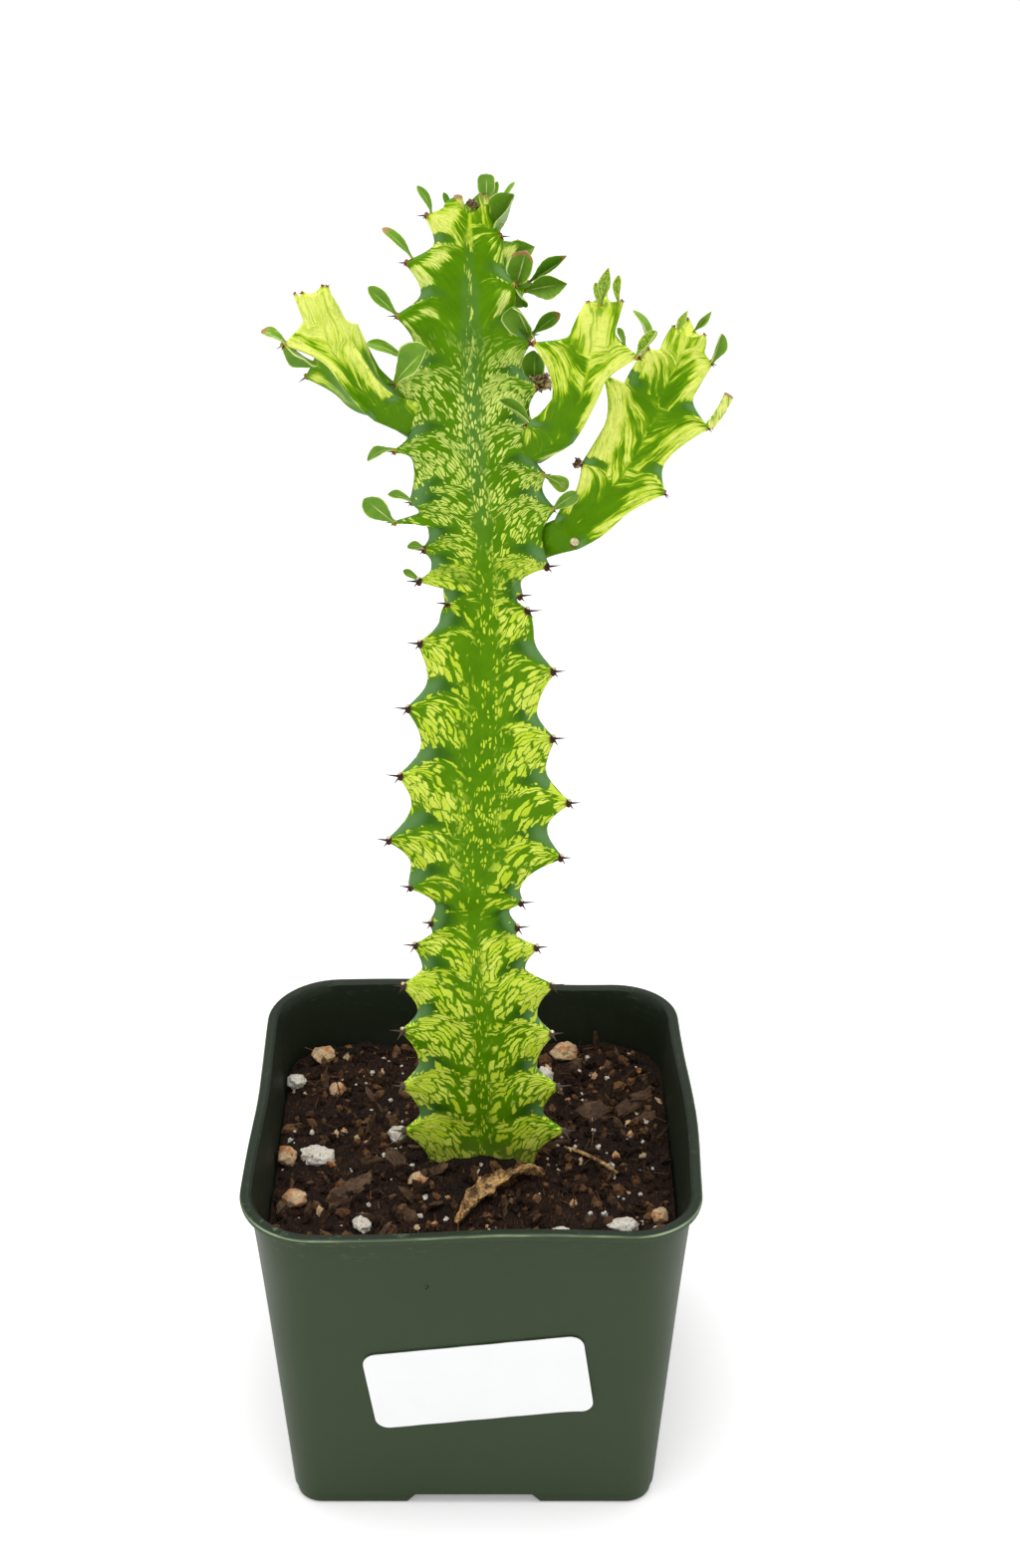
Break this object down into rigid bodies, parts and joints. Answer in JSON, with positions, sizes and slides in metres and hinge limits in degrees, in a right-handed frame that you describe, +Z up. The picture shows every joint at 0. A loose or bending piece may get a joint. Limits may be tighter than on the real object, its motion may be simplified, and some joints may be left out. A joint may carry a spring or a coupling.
{
  "type": "potted variegated african milk tree",
  "caption": "Tall ribbed and toothed succulent with side branches, paired spines and small folded leaves, streaked yellow-green, in a square tapered nursery pot of peat.",
  "frame": {"origin": "on the surface the pot stands on, under the middle of the pot", "axes": "+Z up the stem, -Y towards the labelled front of the pot, +X to its right"},
  "size_m": [0.1323, 0.1309, 0.3855],
  "materials": {
    "pot_plastic": "satin, fine-grained dark green with dusty scuffs and a paler trimmed rim",
    "label_paper": "matt white, bare",
    "peat_soil": "matt, damp dark brown fibres and grains",
    "stem_skin": "waxy green skin streaked and speckled with yellow-green",
    "leaf_skin": "soft satin green blade with a pale cream margin",
    "dried_leaf": "matt papery light brown",
    "perlite": "matt white, pitted",
    "pumice": "matt tan, pitted",
    "bark": "matt dark brown, fibrous"
  },
  "bodies": {
    "root": {"bark_chip_behind": "bark", "bark_chip_front": "bark", "bark_chip_left": "bark", "bark_chip_right": "bark", "branch_left": "stem_skin", "branch_right_inner": "stem_skin", "branch_right_outer": "stem_skin", "dry_leaf": "dried_leaf", "label": "label_paper", "leaf_back_first": "leaf_skin", "leaf_back_large": "leaf_skin", "leaf_back_second": "leaf_skin", "leaf_back_third": "leaf_skin", "leaf_back_top": "leaf_skin", "leaf_inner_low": "leaf_skin", "leaf_inner_right_fork": "leaf_skin", "leaf_inner_right_tall": "leaf_skin", "leaf_inner_tip": "leaf_skin", "leaf_inner_tip_small": "leaf_skin", "leaf_left_branch_outer": "leaf_skin", "leaf_left_branch_under": "leaf_skin", "leaf_left_drooping": "leaf_skin", "leaf_left_front": "leaf_skin", "leaf_left_low": "leaf_skin", "leaf_left_rear": "leaf_skin", "leaf_left_second": "leaf_skin", "leaf_left_spoon": "leaf_skin", "leaf_left_top": "leaf_skin", "leaf_left_upper": "leaf_skin", "leaf_outer_round": "leaf_skin", "leaf_outer_stub": "leaf_skin", "leaf_outer_tip": "leaf_skin", "leaf_right_curled": "leaf_skin", "leaf_right_hanging": "leaf_skin", "leaf_right_large": "leaf_skin", "leaf_right_low": "leaf_skin", "leaf_right_top": "leaf_skin", "leaf_right_upper": "leaf_skin", "leaf_tip_folded": "leaf_skin", "main_stem": "stem_skin", "perlite_at_stem": "perlite", "perlite_behind_stem": "perlite", "perlite_front_cluster": "perlite", "perlite_front_left": "perlite", "perlite_front_right": "perlite", "perlite_large": "perlite", "perlite_left_back": "perlite", "pot": "pot_plastic", "soil": "peat_soil", "stone_back_long": "pumice", "stone_back_round": "pumice", "stone_front_middle": "pumice", "stone_left_back": "pumice", "stone_left_edge": "pumice", "stone_left_front": "pumice", "stone_right_edge": "pumice", "straw": "dried_leaf", "twig": "bark"}
  },
  "joints": []
}
